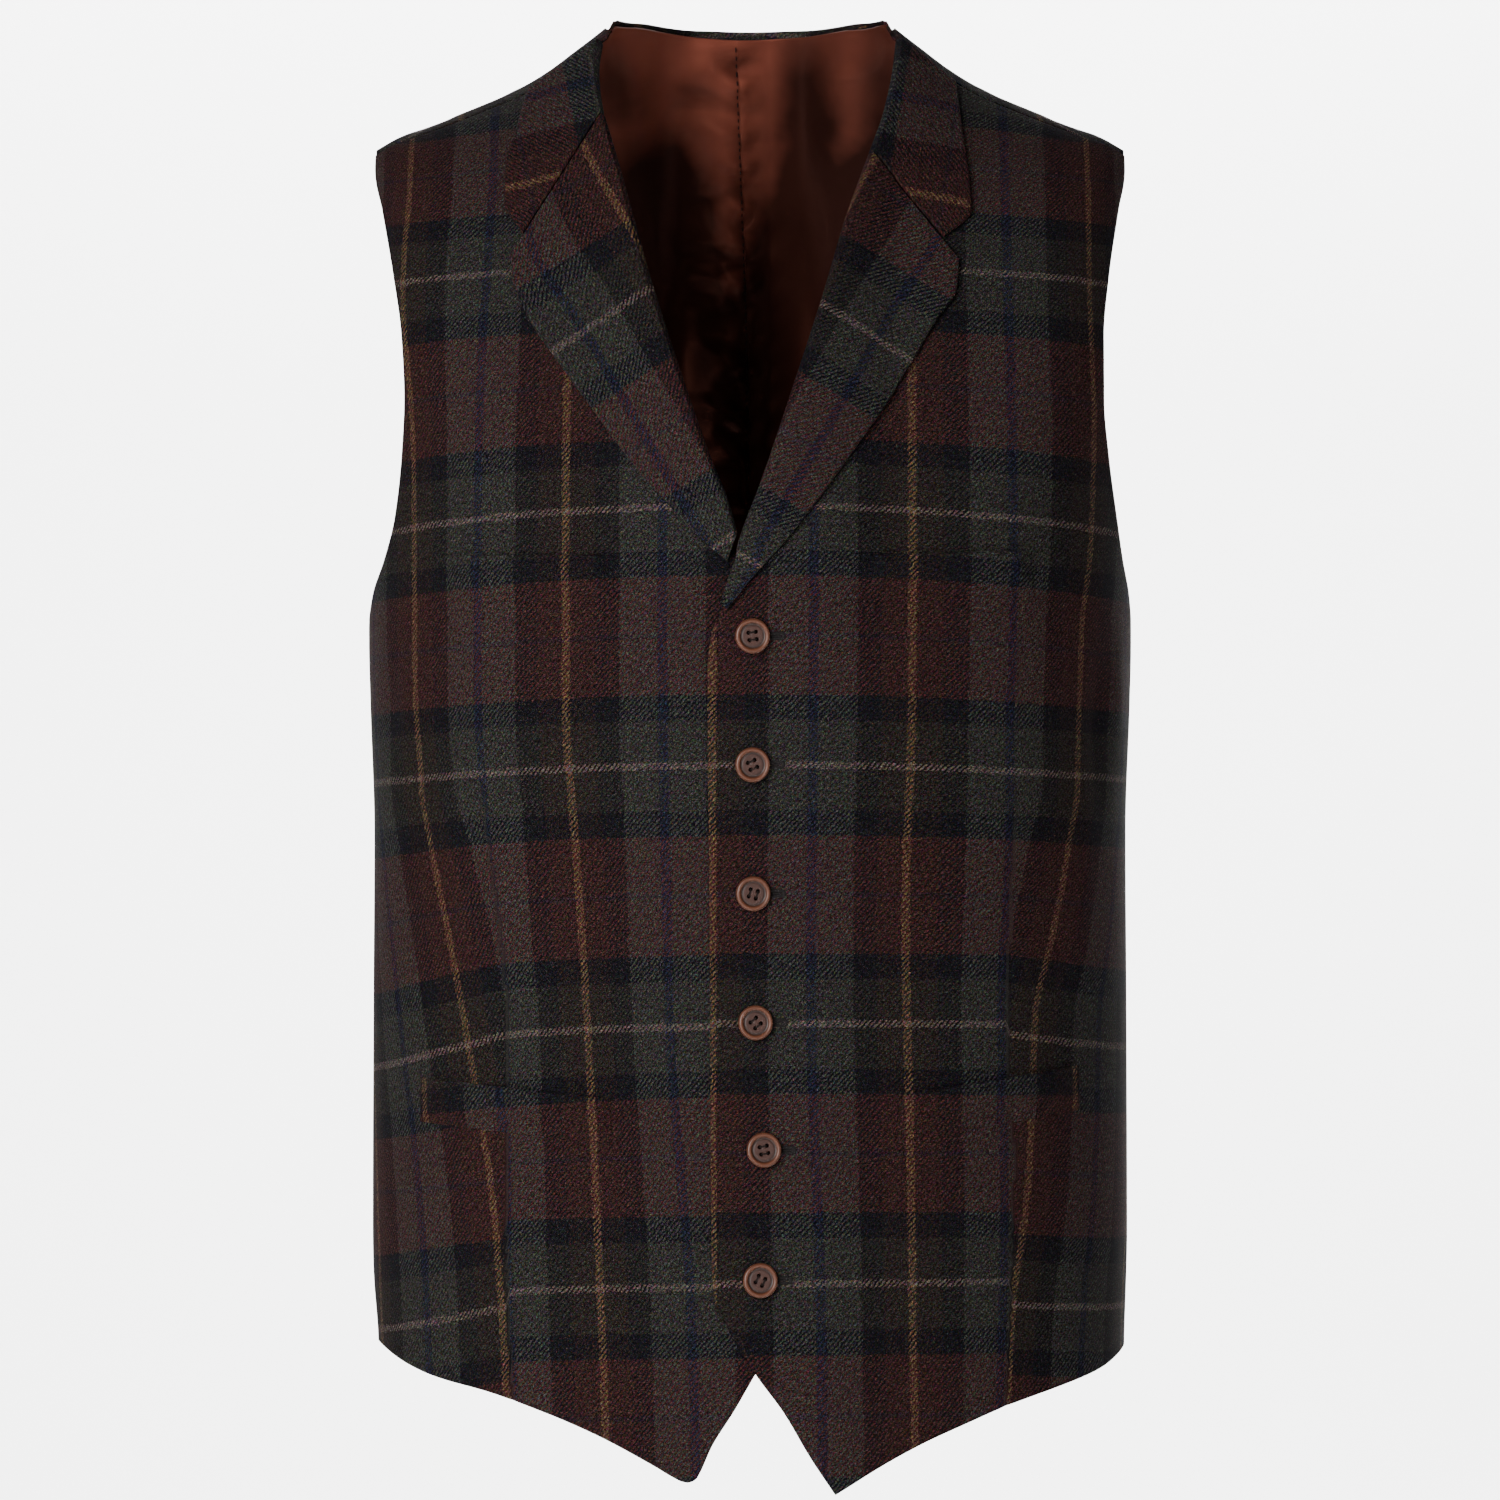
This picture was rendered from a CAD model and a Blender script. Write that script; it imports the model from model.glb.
import bpy
import numpy as np
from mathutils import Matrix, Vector


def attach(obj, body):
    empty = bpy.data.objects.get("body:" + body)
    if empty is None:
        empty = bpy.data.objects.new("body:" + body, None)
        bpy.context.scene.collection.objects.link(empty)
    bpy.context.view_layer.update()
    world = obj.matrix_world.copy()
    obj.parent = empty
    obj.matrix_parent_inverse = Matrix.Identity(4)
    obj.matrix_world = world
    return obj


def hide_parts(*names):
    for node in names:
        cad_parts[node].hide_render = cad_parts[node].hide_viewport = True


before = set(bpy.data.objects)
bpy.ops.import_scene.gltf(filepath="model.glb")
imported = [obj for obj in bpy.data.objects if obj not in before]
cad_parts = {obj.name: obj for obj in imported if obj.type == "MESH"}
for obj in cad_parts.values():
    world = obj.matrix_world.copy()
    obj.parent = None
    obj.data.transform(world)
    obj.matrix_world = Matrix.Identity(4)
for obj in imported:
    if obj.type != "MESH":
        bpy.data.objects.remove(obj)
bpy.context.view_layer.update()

print("frame loaded")

# Camera: level with the middle of the garment and square to its front
view = {"place": (0.0, -3.0, -0.2886), "lens": 162.16, "sensor": 36.0}
cameraData = bpy.data.cameras.new("camera")
cameraData.lens = view["lens"]
cameraData.sensor_width = view["sensor"]
camera = bpy.data.objects.new("camera", cameraData)
camera.location = view["place"]
camera.rotation_euler = (np.pi / 2, 0, 0)
bpy.context.collection.objects.link(camera)
bpy.context.scene.camera = camera

# Studio: one pale sheet that runs from the floor up behind the garment, and soft lamps
studio = {
    "floor": -1.1, "near": -14.0, "bend": 3.1, "radius": 1.2, "top": 4.6, "half": 14.0,
    "air": 0.3,
    "lamps": [
        {"place": (-1.5, -2.7, 0.45), "aim": (0.0, 0.0, -0.33), "size": 1.7, "watts": 228},
        {"place": (1.5, -2.6, -0.1), "aim": (0.0, 0.0, -0.3), "size": 1.6, "watts": 16},
        {"place": (0.0, 2.2, 2.98), "aim": (0.0, 4.3, 2.5), "size": 3.0, "watts": 1165},
        {"place": (1.9, 2.9, -0.1), "aim": (0.0, 0.0, -0.3), "size": 1.6, "watts": 70},
    ],
}


def addLamp(number, lamp):
    data = bpy.data.lights.new(f"lamp{number}", "AREA")
    data.shape = "SQUARE"
    data.size = lamp["size"]
    data.energy = lamp["watts"]
    item = bpy.data.objects.new(f"lamp{number}", data)
    item.location = lamp["place"]
    aim = Vector(lamp["aim"]) - Vector(lamp["place"])
    item.rotation_euler = aim.to_track_quat("-Z", "Y").to_euler()
    item.visible_camera = False
    bpy.context.collection.objects.link(item)


for number, lamp in enumerate(studio["lamps"]):
    addLamp(number, lamp)
world = bpy.data.worlds.new("studio")
world.use_nodes = True
air = world.node_tree.nodes["Background"]
air.inputs["Color"].default_value = (1, 1, 1, 1)
air.inputs["Strength"].default_value = studio["air"]
bpy.context.scene.world = world


# Meshes from whole arrays: points in mm, four corners a face, cloth coordinates in mm
def makeMesh(name, points, quads, uv=None, finishes=(), finishOf=None):
    mesh = bpy.data.meshes.new(name)
    flat = (np.asarray(points, float) * 0.001).reshape(-1)
    quads = np.asarray(quads)
    mesh.vertices.add(len(flat) // 3)
    mesh.vertices.foreach_set("co", flat)
    mesh.loops.add(quads.size)
    mesh.loops.foreach_set("vertex_index", quads.reshape(-1))
    mesh.polygons.add(len(quads))
    mesh.polygons.foreach_set("loop_start", np.arange(len(quads)) * quads.shape[1])
    mesh.polygons.foreach_set("use_smooth", np.ones(len(quads), bool))
    for finish in finishes:
        mesh.materials.append(finish)
    if finishOf is not None:
        mesh.polygons.foreach_set("material_index", np.asarray(finishOf, np.int32))
    if uv is not None:
        layer = mesh.uv_layers.new(name="cloth")
        corners = (np.asarray(uv, float) * 0.001)[quads.reshape(-1)]
        layer.data.foreach_set("uv", corners.reshape(-1))
    mesh.update(calc_edges=True)
    mesh.validate()
    item = bpy.data.objects.new(name, mesh)
    bpy.context.collection.objects.link(item)
    return item


# The faces of a grid of points, and the rim that joins an outer grid to an inner one
def gridFaces(rows, columns, start=0, closed=False):
    index = np.arange(rows * columns).reshape(rows, columns) + start
    if closed:
        index = np.concatenate([index, index[:, :1]], 1)
    a, b, c, d = index[:-1, :-1], index[:-1, 1:], index[1:, 1:], index[1:, :-1]
    return np.stack([a, b, c, d], -1).reshape(-1, 4)


def rimFaces(rows, columns):
    index = np.arange(rows * columns).reshape(rows, columns)
    ring = np.concatenate([index[0, :-1], index[:-1, -1], index[-1, :0:-1], index[:0:-1, 0]])
    after = np.roll(ring, -1)
    inside = rows * columns
    return np.stack([ring, ring + inside, after + inside, after], -1)


def volumeOf(points, quads):
    a, b, c, d = (points[quads[:, i]] for i in range(4))
    return (np.cross(a, b) * c).sum() + (np.cross(a, c) * d).sum()


# A closed cloth wall between two grids of points
def clothWall(name, outer, inner, uv, finishes, insideFinish=None):
    rows, columns = outer.shape[:2]
    points = np.concatenate([outer.reshape(-1, 3), inner.reshape(-1, 3)])
    inside = gridFaces(rows, columns, rows * columns)[:, ::-1]
    quads = np.concatenate([gridFaces(rows, columns), inside, rimFaces(rows, columns)])
    kinds = np.zeros(len(quads), int)
    if insideFinish is not None:
        many = len(inside)
        middle = 0.25 * (insideFinish[:-1, :-1] + insideFinish[:-1, 1:]
                         + insideFinish[1:, :-1] + insideFinish[1:, 1:])
        kinds[many:2 * many] = np.round(middle).astype(int).reshape(-1)
    if volumeOf(points, quads) < 0:
        quads = quads[:, ::-1]
    both = np.concatenate([uv.reshape(-1, 2)] * 2)
    return makeMesh(name, points, quads, both, finishes, kinds)


# The sheet of the studio: a straight floor, a quarter turn and a straight wall, carried sideways
turn = np.linspace(0, np.pi / 2, 24)
sweepY = np.r_[studio["near"], studio["bend"] + studio["radius"] * np.sin(turn),
               studio["bend"] + studio["radius"]]
sweepZ = np.r_[studio["floor"], studio["floor"] + studio["radius"] * (1 - np.cos(turn)),
               studio["top"]]
sweepX = np.linspace(-studio["half"], studio["half"], 3)
sheet = np.stack([np.tile(sweepX, (len(sweepY), 1)), np.tile(sweepY[:, None], 3),
                  np.tile(sweepZ[:, None], 3)], -1)
backdrop = makeMesh("backdrop", sheet.reshape(-1, 3) * 1000, gridFaces(len(sweepY), 3))
print("camera and studio set")


# Finishes
def tone(red, green, blue):
    share = np.array([red, green, blue]) / 255
    linear = np.where(share <= 0.04045, share / 12.92, ((share + 0.055) / 1.055) ** 2.4)
    return (*linear, 1.0)


class Nodes:
    def __init__(self, name):
        self.finish = bpy.data.materials.new(name)
        self.finish.use_nodes = True
        self.tree = self.finish.node_tree
        self.shader = self.tree.nodes["Principled BSDF"]

    def add(self, kind, settings=None, **inputs):
        node = self.tree.nodes.new(kind)
        for key, value in (settings or {}).items():
            setattr(node, key, value)
        for key, value in inputs.items():
            self.put(node.inputs[key if not key[1:].isdigit() else int(key[1:])], value)
        return node

    def put(self, socket, value):
        if isinstance(value, bpy.types.NodeSocket):
            self.tree.links.new(value, socket)
        else:
            socket.default_value = value

    def calc(self, operation, *values, clamp=False):
        node = self.tree.nodes.new("ShaderNodeMath")
        node.operation = operation
        node.use_clamp = clamp
        for socket, value in zip(node.inputs, values):
            self.put(socket, value)
        return node.outputs[0]

    def between(self, value, low, high):
        node = self.add("ShaderNodeMapRange", {"interpolation_type": "SMOOTHSTEP"})
        self.put(node.inputs[0], value)
        self.put(node.inputs[1], low)
        self.put(node.inputs[2], high)
        return node.outputs[0]

    def blend(self, share, first, second, kind="MIX"):
        node = self.tree.nodes.new("ShaderNodeMix")
        node.data_type = "RGBA"
        node.blend_type = kind
        self.put(node.inputs["Factor"], share)
        self.put(node.inputs["A"], first)
        self.put(node.inputs["B"], second)
        return next(out for out in node.outputs if out.type == "RGBA")

    def strength(self, shade, share):
        node = self.add("ShaderNodeVectorMath", {"operation": "SCALE"}, _0=shade, Scale=share)
        return node.outputs[0]

    def stripes(self, value, rows, sharp="LINEAR"):
        node = self.tree.nodes.new("ShaderNodeValToRGB")
        node.color_ramp.interpolation = sharp
        self.put(node.inputs[0], value)
        stops = node.color_ramp.elements
        for place, shade in rows[2:]:
            stops.new(min(place, 1.0)).color = shade
        for stop, (place, shade) in zip((stops[0], stops[-1]), (rows[0], rows[1])):
            stop.position = place
            stop.color = shade
        return node.outputs[0]

    def speckle(self, vector, scale, detail=2.0, rough=0.5):
        node = self.add("ShaderNodeTexNoise", Vector=vector, Scale=scale, Detail=detail)
        node.inputs["Roughness"].default_value = rough
        return node.outputs[0]

    def stretched(self, vector, scale):
        node = self.add("ShaderNodeMapping", {"vector_type": "POINT"}, Vector=vector)
        node.inputs["Scale"].default_value = scale
        return node.outputs[0]

    def dress(self, **inputs):
        for key, value in inputs.items():
            self.put(self.shader.inputs[key.replace("_", " ")], value)


# The check, as a weaver charts it: a stripe's centre in mm from the repeat's start, half its
# breadth, and the colour of its yarns. Later rows lie over earlier ones.
check = {
    "warpRepeat": 84.3, "weftRepeat": 111.0, "warpYarn": 0.56, "weftYarn": 0.6, "depth": 0.3,
    "warp": [
        {"at": 42.15, "half": 42.15, "shade": (60, 60, 57)},
        {"at": 0.0, "half": 23.5, "shade": (30, 29, 31)},
        {"at": 0.0, "half": 13.0, "shade": (43, 34, 32)},
        {"at": 0.0, "half": 1.7, "shade": (100, 77, 57)},
        {"at": 42.15, "half": 2.0, "shade": (38, 40, 56)},
    ],
    "weft": [
        {"at": 55.5, "half": 55.5, "shade": (69, 40, 40)},
        {"at": 0.0, "half": 30.2, "shade": (27, 26, 33)},
        {"at": 0.0, "half": 19.5, "shade": (48, 45, 43)},
        {"at": 0.0, "half": 1.6, "shade": (100, 86, 81)},
        {"at": 55.5, "half": 1.3, "shade": (58, 38, 46)},
    ],
}


# The stripes over one repeat as hard-edged stops: at each edge the topmost stripe gives its shade
def chartStops(rows, repeat):
    edges = sorted({0.0} | {round((row["at"] + side * row["half"]) % repeat, 3)
                            for row in rows for side in (-1, 1)})
    stops = []
    for here, after in zip(edges, edges[1:] + [repeat]):
        middle = (here + after) / 2
        away = [abs((middle - row["at"] + repeat / 2) % repeat - repeat / 2) for row in rows]
        top = [row for row, far in zip(rows, away) if far < row["half"]][-1]
        shade = tuple(part * check["depth"] for part in tone(*top["shade"])[:3]) + (1.0,)
        if not stops or stops[-1][1] != shade:
            stops.append((here / repeat, shade))
    return [stops[0], stops[-1], *stops[1:-1]]


def tweedFinish():
    make = Nodes("tweedCloth")
    uv = make.add("ShaderNodeUVMap", {"uv_map": "cloth"}).outputs[0]
    scaled = make.add("ShaderNodeVectorMath", {"operation": "SCALE"}, _0=uv, Scale=1000.0).outputs[0]
    parts = make.add("ShaderNodeSeparateXYZ", _0=scaled)

    # the yarns wander, so a coordinate is pushed by a noise of so many mm
    def wander(coordinate, scale, reach, detail=3.0):
        push = make.calc("SUBTRACT", make.speckle(scaled, scale, detail), 0.5)
        return make.calc("MULTIPLY_ADD", push, reach, coordinate)

    across = wander(parts.outputs[0], 0.22, 1.3)
    along = wander(parts.outputs[1], 0.31, 1.5)
    warpPlace = make.calc("FRACT", make.calc("DIVIDE", wander(across, 0.9, 3.2), check["warpRepeat"]))
    weftPlace = make.calc("FRACT", make.calc("DIVIDE", wander(along, 0.8, 2.6), check["weftRepeat"]))
    warp = make.stripes(warpPlace, chartStops(check["warp"], check["warpRepeat"]), "CONSTANT")
    weft = make.stripes(weftPlace, chartStops(check["weft"], check["weftRepeat"]), "CONSTANT")
    # two-and-two twill: warp and weft take turns along a diagonal four yarns apart
    slant = make.calc("SUBTRACT", make.calc("DIVIDE", across, 4 * check["warpYarn"]),
                      make.calc("DIVIDE", along, 4 * check["weftYarn"]))
    diagonal = make.calc("FRACT", wander(slant, 0.55, 0.9))
    ramp = make.calc("ABSOLUTE", make.calc("MULTIPLY_ADD", diagonal, 2.0, -1.0))
    onTop = make.between(wander(ramp, 1.5, 1.5, 4.0), 0.28, 0.72)
    # each yarn is spun from mixed wool, so its shade wanders along it
    warpLight = make.between(make.speckle(make.stretched(scaled, (1.9, 0.5, 1.0)), 1.0, 3.0, 0.6), 0.3, 0.7)
    weftLight = make.between(make.speckle(make.stretched(scaled, (0.5, 1.9, 1.0)), 1.0, 3.0, 0.6), 0.3, 0.7)
    warpHue = make.strength(warp, make.calc("MULTIPLY_ADD", warpLight, 1.5, 0.25))
    weftHue = make.strength(weft, make.calc("MULTIPLY_ADD", weftLight, 1.4, 0.3))
    woven = make.blend(onTop, weftHue, warpHue)
    fleck = make.speckle(scaled, 1.15, 2.0, 0.5)
    fleckShade = make.stripes(make.speckle(scaled, 0.33, 1.0), [
        (0.0, tone(70, 44, 30)), (1.0, tone(38, 40, 66)), (0.42, tone(70, 44, 30)), (0.5, tone(56, 62, 54)),
        (0.58, tone(74, 38, 38))], "CONSTANT")
    woven = make.blend(make.calc("MULTIPLY", make.between(fleck, 0.58, 0.74), 0.35), woven, fleckShade)
    # wool of every hue is carded together, with light and dark grit on top
    heather = make.add("ShaderNodeTexNoise", Vector=scaled, Scale=1.1, Detail=3.0, Roughness=0.6)
    hue = make.add("ShaderNodeVectorMath", {"operation": "MULTIPLY_ADD"}, _0=heather.outputs["Color"],
                   _1=(3.0, 3.0, 3.0), _2=(-0.5, -0.5, -0.5)).outputs[0]
    woven = make.add("ShaderNodeVectorMath", {"operation": "MULTIPLY"}, _0=woven, _1=hue).outputs[0]
    grit = make.between(make.speckle(scaled, 1.7, 3.0, 0.7), 0.36, 0.66)
    slubs = make.between(make.speckle(scaled, 0.62, 2.0, 0.6), 0.3, 0.7)
    woven = make.strength(woven, make.calc("MULTIPLY_ADD", grit, 1.3, 0.38))
    woven = make.strength(woven, make.calc("MULTIPLY_ADD", slubs, 0.7, 0.65))
    rib = make.calc("ABSOLUTE", make.calc("SINE", make.calc("MULTIPLY", diagonal, 2 * np.pi)))
    hairs = make.speckle(scaled, 2.6, 3.0, 0.7)
    height = make.calc("ADD", make.calc("MULTIPLY", rib, 0.5), hairs)
    bump = make.add("ShaderNodeBump", Height=height, Strength=0.6, Distance=0.0004)
    make.dress(Base_Color=woven, Roughness=0.92, Normal=bump.outputs[0])
    make.shader.inputs["Specular IOR Level"].default_value = 0.02
    return make.finish


# The lining's darker hollows: middle and half breadths in mm, and how dark (less than 0 is paler)
satinHollows = [
    {"x": -61, "z": 8, "wide": 12, "tall": 15, "dark": 0.8},
    {"x": -50, "z": -34, "wide": 20, "tall": 27, "dark": 0.7},
    {"x": -31, "z": -68, "wide": 20, "tall": 62, "dark": 1.1},
    {"x": 25, "z": 3, "wide": 15, "tall": 34, "dark": 0.5},
    {"x": 32, "z": -88, "wide": 30, "tall": 64, "dark": 1.0},
    {"x": -12, "z": -68, "wide": 11, "tall": 48, "dark": -0.4},
    {"x": 60, "z": 4, "wide": 11, "tall": 34, "dark": 0.4},
    {"x": 58, "z": -32, "wide": 16, "tall": 22, "dark": 0.4},
]


def satinFinish():
    make = Nodes("liningSatin")
    uv = make.add("ShaderNodeUVMap", {"uv_map": "cloth"}).outputs[0]
    scaled = make.add("ShaderNodeVectorMath", {"operation": "SCALE"}, _0=uv, Scale=1000.0).outputs[0]
    threads = make.speckle(make.stretched(scaled, (0.5, 5.0, 1.0)), 1.0, 2.0)
    cross = make.speckle(make.stretched(scaled, (5.0, 0.4, 1.0)), 1.0, 2.0)
    cloud = make.speckle(scaled, 0.03, 3.0)
    base = make.blend(cloud, tone(84, 42, 33), tone(100, 53, 41))
    base = make.blend(make.calc("MULTIPLY", threads, 0.22), base, tone(36, 17, 13))
    # worn and faded in places, deeper in tone in the hollows and further down
    place = make.add("ShaderNodeTexCoord").outputs["Object"]
    spot = make.add("ShaderNodeSeparateXYZ", _0=place)
    deep = make.calc("MULTIPLY", make.between(spot.outputs[0], -0.004, 0.022), 0.5)
    deep = make.calc("ADD", deep, make.between(spot.outputs[2], 0.0, -0.105))
    cloudPush = make.calc("SUBTRACT", make.speckle(scaled, 0.055, 2.0), 0.5)
    for hollow in satinHollows:
        flat = make.add("ShaderNodeVectorMath", {"operation": "MULTIPLY_ADD"}, _0=place,
                        _1=(1000 / hollow["wide"], 0.0, 1000 / hollow["tall"]),
                        _2=(-hollow["x"] / hollow["wide"], 0.0, -hollow["z"] / hollow["tall"])).outputs[0]
        away = make.add("ShaderNodeVectorMath", {"operation": "LENGTH"}, _0=flat).outputs[1]
        away = make.calc("MULTIPLY_ADD", cloudPush, 0.6, away)
        deep = make.calc("MULTIPLY_ADD", make.between(away, 1.6, 0.1), hollow["dark"], deep)
    # crumpled along the centre seam, more so on the wearer's right of it
    aside = make.calc("ADD", spot.outputs[0], 0.006)
    near = make.calc("MULTIPLY", make.between(aside, 0.016, 0.0), make.between(aside, -0.036, -0.01))
    crumple = make.speckle(make.stretched(place, (36.0, 1.0, 74.0)), 1.0, 0.0)
    pit = make.calc("MULTIPLY", make.between(crumple, 0.5, 0.36), near)
    deep = make.calc("MULTIPLY_ADD", pit, 0.35, deep)
    base = make.blend(make.calc("MINIMUM", deep, 0.97), base, tone(14, 5, 4))
    fine = make.calc("ADD", threads, make.calc("MULTIPLY", cross, 0.6))
    bump = make.add("ShaderNodeBump", Height=fine, Strength=0.12, Distance=0.0002)
    crumpled = make.add("ShaderNodeBump", Height=make.calc("MULTIPLY", crumple, near), Strength=1.0,
                        Distance=0.012, Normal=bump.outputs[0])
    make.dress(Base_Color=base, Roughness=0.42, Normal=crumpled.outputs[0])
    make.shader.inputs["Specular IOR Level"].default_value = 0.28
    make.shader.inputs["Specular Tint"].default_value = tone(214, 128, 106)
    return make.finish


# Buttons carry their radius from the middle as the first cloth coordinate, in mm
def hornFinish():
    make = Nodes("buttonHorn")
    uv = make.add("ShaderNodeUVMap", {"uv_map": "cloth"}).outputs[0]
    parts = make.add("ShaderNodeSeparateXYZ", _0=uv)
    radius = make.calc("MULTIPLY", parts.outputs[0], 1000.0 / 7.5)
    place = make.add("ShaderNodeTexCoord").outputs["Object"]
    grain = make.speckle(make.stretched(place, (900.0, 900.0, 220.0)), 1.0, 3.0, 0.6)
    cloud = make.speckle(place, 240.0, 2.0)
    turned = make.stripes(radius, [
        (0.0, tone(44, 22, 17)), (1.0, tone(64, 32, 16)), (0.55, tone(42, 21, 16)),
        (0.64, tone(17, 8, 6)), (0.70, tone(25, 12, 8)), (0.79, tone(76, 39, 20)),
        (0.93, tone(66, 34, 18))])
    mixed = make.blend(make.calc("MULTIPLY", grain, 0.35), turned, tone(24, 11, 7))
    mixed = make.blend(make.calc("MULTIPLY", cloud, 0.2), mixed, tone(76, 44, 29))
    bump = make.add("ShaderNodeBump", Height=grain, Strength=0.12, Distance=0.0001)
    make.dress(Base_Color=mixed, Roughness=0.4, Normal=bump.outputs[0])
    make.shader.inputs["Specular IOR Level"].default_value = 0.3
    return make.finish


def threadFinish(name, light, dark, rough):
    make = Nodes(name)
    place = make.add("ShaderNodeTexCoord").outputs["Object"]
    twist = make.speckle(place, 2600.0, 2.0)
    bump = make.add("ShaderNodeBump", Height=twist, Strength=0.3, Distance=0.0001)
    make.dress(Base_Color=make.blend(twist, light, dark), Roughness=rough, Normal=bump.outputs[0])
    make.shader.inputs["Specular IOR Level"].default_value = 0.15
    return make.finish


def paperFinish():
    make = Nodes("studioPaper")
    place = make.add("ShaderNodeTexCoord").outputs["Object"]
    grain = make.speckle(place, 3.0, 2.0)
    make.dress(Base_Color=make.blend(grain, (0.93, 0.93, 0.93, 1), (0.95, 0.95, 0.95, 1)),
               Roughness=0.95)
    return make.finish


tweed = tweedFinish()
satin = satinFinish()
horn = hornFinish()
darkThread = threadFinish("holeThread", tone(9, 8, 9), tone(22, 18, 17), 0.8)
hornThread = threadFinish("buttonThread", tone(12, 7, 6), tone(22, 13, 10), 0.8)
seamThread = threadFinish("seamThread", tone(7, 3, 3), tone(14, 7, 6), 0.8)
backdrop.data.materials.append(paperFinish())
print("finishes made")


# Small helpers for shapes
def mix(first, second, share):
    return first + (second - first) * share


def ease(share):
    held = np.clip(share, 0, 1)
    return held * held * (3 - 2 * held)


# A smooth curve through (place, value) rows that never swings past them
def through(rows):
    rows = np.asarray(rows, float)
    places, values = rows[np.argsort(rows[:, 0])].T
    slope = np.diff(values) / np.diff(places)
    before, after = np.r_[slope[0], slope], np.r_[slope, slope[-1]]
    both = before * after
    total = np.where(both > 0, before + after, 1.0)
    tangent = np.where(both > 0, 2 * both / total, 0.0)

    def at(where):
        where = np.asarray(where, float)
        i = np.clip(np.searchsorted(places, where, side="right") - 1, 0, len(places) - 2)
        span = places[i + 1] - places[i]
        u = np.clip((where - places[i]) / span, 0, 1)
        return (values[i] * (1 + 2 * u) * (1 - u) ** 2 + values[i + 1] * u * u * (3 - 2 * u)
                + span * (tangent[i] * u * (1 - u) ** 2 - tangent[i + 1] * u * u * (1 - u)))
    return at


# The body the cloth is spread over, in mm: oval sections, closed over the shoulders
form = {
    "power": 2.15,
    "breadth": [(-620, 165.5), (-553, 166.0), (-500, 167.3), (-400, 167.0), (-325, 166.6),
                (-270, 168.3), (-240, 169.0), (60, 169.0)],
    "front": [(-620, 112), (-553, 117), (-470, 115), (-400, 112), (-330, 114), (-250, 118),
              (-150, 121), (60, 121)],
    "back": [(-620, 108), (-553, 104), (-470, 95), (-400, 90), (-330, 94), (-250, 104),
             (-150, 112), (-60, 110), (60, 104)],
    "shoulder": [(-25, 62), (0, 72), (25, 62), (62, 34), (72, 26), (84, 17), (100, 6.5), (114, 0),
                 (130, -6.8), (143, -12), (157, -17), (170, -24.5)],
    "neckHalf": 62.0, "tipHalf": 166.0, "neckRise": 20.0,
    "reach": {"front": (300, 110), "back": (190, 105)}, "roundPower": (0.78, 0.62),
}
breadthAt = through(form["breadth"])
frontDepth = through(form["front"])
backDepth = through(form["back"])
shoulderAt = through(form["shoulder"])
bend = 2 / form["power"]


def outwardShare(x):
    return np.clip((np.abs(x) - form["neckHalf"]) / (form["tipHalf"] - form["neckHalf"]), 0, 1)


def ridgeHeight(x, behind):
    rise = form["neckRise"] * ease((form["neckHalf"] - np.abs(x)) / 40)
    return shoulderAt(np.abs(x)) + np.where(behind, rise, 0)


# A place on the body: the angle goes round it from the front's middle, the level is the height.
# x is the breadth times a power of the sine, y the depth times a power of the cosine, less near
# the shoulder. A level above the shoulder's ridge has gone over to the other side.
def formPoint(angle, level):
    across, along = np.sin(angle), np.cos(angle)
    behind = along < 0
    x = np.sign(across) * breadthAt(level) * np.abs(across) ** bend
    top = ridgeHeight(x, behind)
    over = level > top
    z = np.where(over, 2 * top - level, level)
    behind = behind ^ over
    outward = outwardShare(x)
    reach = np.where(behind, mix(*form["reach"]["back"], outward), mix(*form["reach"]["front"], outward))
    below = np.clip((ridgeHeight(x, behind) - z) / reach, 0, 1)
    share = (1 - (1 - below) ** 2) ** mix(*form["roundPower"], outward)
    depth = np.where(behind, backDepth(z), -frontDepth(z))
    return np.stack([x, depth * np.abs(along) ** bend * share, z + 0 * x], -1)


def formNormal(angle, level):
    around = formPoint(angle + 0.004, level) - formPoint(angle - 0.004, level)
    upward = formPoint(angle, level + 0.4) - formPoint(angle, level - 0.4)
    normal = np.cross(around, upward)
    return normal / np.linalg.norm(normal, axis=-1, keepdims=True)


def angleAt(x, z):
    return np.sign(x) * np.arcsin(np.clip(np.abs(x) / breadthAt(z), 0, 1) ** (form["power"] / 2))


# Soft folds: each row is a trough (or a ridge, if its depth is negative) that runs down from top
# to bottom, leans by so many mm, and fades across as a bell curve and along as a squared sine
def foldPush(rows, x, z):
    push = np.zeros(np.broadcast(x, z).shape)
    for row in rows:
        share = (row["top"] - z) / (row["top"] - row["bottom"])
        middle = row["x"] + row.get("lean", 0.0) * share
        across = np.exp(-((x - middle) / row["width"]) ** 2)
        push = push - row["depth"] * across * np.sin(np.pi * np.clip(share, 0, 1)) ** 2
    return push


# The left front laps over the right one, so its edge stands out by the layers under it
def lapLift(x, z):
    nearEdge = 1 - ease((x - 28) / 34)
    forRoll = 1.4 * ease((z + 262) / 25) * (1 - ease((z + 190) / 40))
    return nearEdge * (2.6 * (1 - ease((z + 200) / 50)) + forRoll)


frontFolds = [
    {"x": 152, "top": -236, "bottom": -330, "width": 5, "depth": 2.2},
    {"x": 161, "top": -226, "bottom": -300, "width": 4, "depth": -1.4},
    {"x": -157, "top": -238, "bottom": -300, "width": 5, "depth": 1.4},
    {"x": 139, "top": -250, "bottom": -350, "width": 7, "depth": 1.2},
]
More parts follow.
